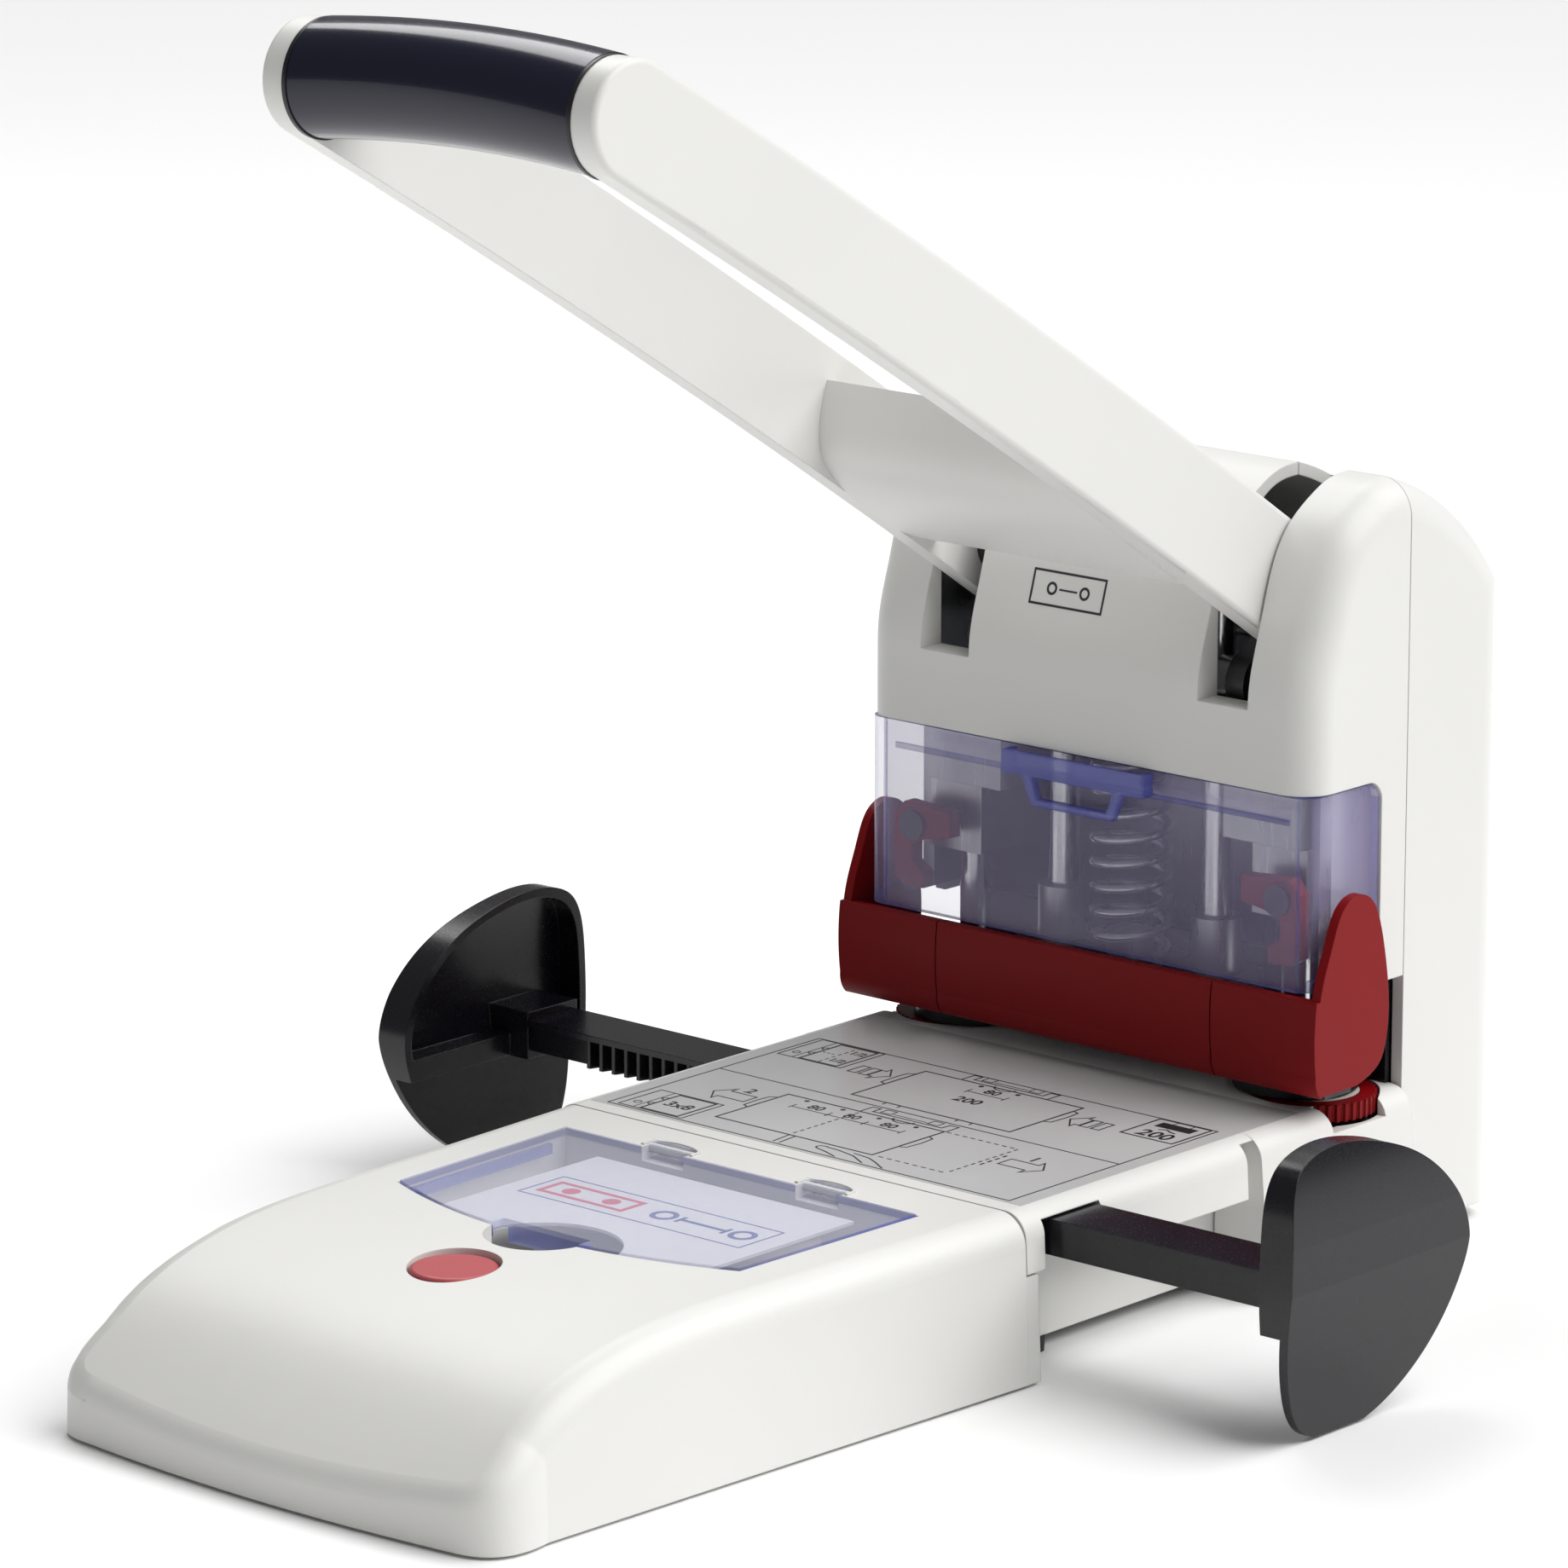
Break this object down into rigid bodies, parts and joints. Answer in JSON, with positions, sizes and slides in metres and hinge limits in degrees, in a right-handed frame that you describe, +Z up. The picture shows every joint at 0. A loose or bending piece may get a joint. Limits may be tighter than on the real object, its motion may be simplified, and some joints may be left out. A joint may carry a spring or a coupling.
{
  "type": "hole punch",
  "caption": "Heavy-duty lever hole punch with a paper deck, rack-driven side stops, sprung clamp bar, clear front window and a chip drawer in the nose.",
  "frame": {"origin": "centre of the footprint on the table the feet stand on", "axes": "+X to the right seen from the nose, +Y from the nose to the tower, +Z up"},
  "size_m": [0.2396, 0.284, 0.2503],
  "materials": {
    "cover_plastic": "satin",
    "red_plastic": "semi-gloss",
    "black_plastic": "satin",
    "navy_plastic": "gloss",
    "clear_plastic": "clear",
    "clear_blue_plastic": "clear",
    "frame_steel": "satin",
    "dark_steel": "satin",
    "bright_steel": "bright",
    "rubber": "matte",
    "card": "matte",
    "pad_plastic": "matte",
    "bronze": "satin",
    "label": "satin"
  },
  "bodies": {
    "base": {"axle_clips": "bright_steel", "axle_spacers": "frame_steel", "chassis": "cover_plastic", "cover_screws": "bright_steel", "deck_cover": "cover_plastic", "deck_label": "label", "drawer_rails": "frame_steel", "frame_back": "frame_steel", "frame_bridge": "frame_steel", "frame_sides": "frame_steel", "guide_bed": "black_plastic", "guide_columns": "bright_steel", "lever_axle": "bright_steel", "paper_stop": "black_plastic", "rubber_feet": "rubber", "tower_front_cover": "cover_plastic", "tower_rear_cover": "cover_plastic", "wheel_seats": "black_plastic"},
    "lever": {"lever_arm_left": "cover_plastic", "lever_arm_right": "cover_plastic", "lever_plates": "dark_steel", "roller_pins": "bright_steel", "push_rollers": "bright_steel", "lever_web": "cover_plastic", "grip_sleeve": "navy_plastic", "grip_core": "frame_steel", "grip_rings": "black_plastic"},
    "carriage": {"carriage_beam": "frame_steel", "column_bushes": "bronze", "punch_holders": "frame_steel", "punch_left": "bright_steel", "punch_right": "bright_steel", "release_pins": "bright_steel", "clamp_spring": "bright_steel"},
    "release_left": {"punch_release_left": "red_plastic"},
    "release_right": {"punch_release_right": "red_plastic"},
    "clamp": {"clamp_bar_center": "red_plastic", "clamp_ear_left": "red_plastic", "clamp_ear_right": "red_plastic", "clamp_plate": "dark_steel", "clamp_discs": "dark_steel", "clamp_yoke": "frame_steel"},
    "window_door": {"window": "clear_plastic", "window_latch": "clear_blue_plastic"},
    "drawer": {"nose_shell": "cover_plastic", "chip_tray": "cover_plastic", "storage_card": "card", "spare_discs": "pad_plastic", "button_spring": "bright_steel"},
    "lid": {"storage_lid": "clear_plastic"},
    "button": {"release_button": "red_plastic"},
    "guide_right": {"guide_rack_right": "black_plastic", "guide_paddle_right": "black_plastic"},
    "guide_left": {"guide_rack_left": "black_plastic", "guide_paddle_left": "black_plastic"},
    "pinion": {"guide_pinion": "black_plastic"},
    "wheel_left": {"cutting_wheel_left": "red_plastic", "cutting_pad_left": "pad_plastic"},
    "wheel_right": {"cutting_wheel_right": "red_plastic", "cutting_pad_right": "pad_plastic"}
  },
  "joints": [
    {"name": "lever_hinge", "type": "hinge", "parent": "base", "child": "lever", "pos_m": [0, 0.1125, 0.118], "axis": [1, 0, 0], "range_deg": [-48, 29], "stiffness_Nm_per_rad": 1.5, "springref_deg": -6.3},
    {"name": "carriage_slide", "type": "slide", "parent": "base", "child": "carriage", "axis": [0, 0, 1], "range_m": [-0.00988, 0.01635], "deforming": ["clamp_spring"]},
    {"name": "clamp_slide", "type": "slide", "parent": "base", "child": "clamp", "axis": [0, 0, -1], "range_m": [-0.02, 0], "deforming": ["clamp_spring"]},
    {"name": "window_pull", "type": "slide", "parent": "base", "child": "window_door", "axis": [0, -1, 0], "range_m": [0, 0.03]},
    {"name": "drawer_slide", "type": "slide", "parent": "base", "child": "drawer", "axis": [0, -1, 0], "range_m": [0, 0.1]},
    {"name": "lid_hinge", "type": "hinge", "parent": "drawer", "child": "lid", "pos_m": [0, -0.0136, 0.0315], "axis": [-1, 0, 0], "range_deg": [0, 100]},
    {"name": "button_press", "type": "slide", "parent": "drawer", "child": "button", "axis": [0, 0, -1], "range_m": [0, 0.0025], "stiffness_N_per_m": 300, "deforming": ["button_spring"]},
    {"name": "guide_right_slide", "type": "slide", "parent": "base", "child": "guide_right", "axis": [1, 0, 0], "range_m": [-0.0125, 0.036]},
    {"name": "guide_left_slide", "type": "slide", "parent": "base", "child": "guide_left", "axis": [-1, 0, 0], "range_m": [-0.0125, 0.036]},
    {"name": "pinion_spin", "type": "hinge", "parent": "base", "child": "pinion", "pos_m": [0, 0.02885, 0.026], "axis": [0, 0, 1], "range_deg": [-56.85, 163.71]},
    {"name": "wheel_left_turn", "type": "hinge", "parent": "base", "child": "wheel_left", "pos_m": [-0.044, 0.0975, 0.03], "axis": [0, 0, 1], "continuous": true},
    {"name": "wheel_right_turn", "type": "hinge", "parent": "base", "child": "wheel_right", "pos_m": [0.044, 0.0975, 0.03], "axis": [0, 0, 1], "continuous": true},
    {"name": "release_left_turn", "type": "hinge", "parent": "carriage", "child": "release_left", "pos_m": [-0.045, 0.0864, 0.0715], "axis": [0, -1, 0], "range_deg": [0, 12]},
    {"name": "release_right_turn", "type": "hinge", "parent": "carriage", "child": "release_right", "pos_m": [0.045, 0.0864, 0.0715], "axis": [0, 1, 0], "range_deg": [0, 12]}
  ],
  "couplings": [
    {"joint": "carriage_slide", "follows": "lever_hinge", "m_per_rad": -0.0195},
    {"joint": "guide_left_slide", "follows": "guide_right_slide", "ratio": 1},
    {"joint": "pinion_spin", "follows": "guide_right_slide", "rad_per_m": 79.365}
  ]
}
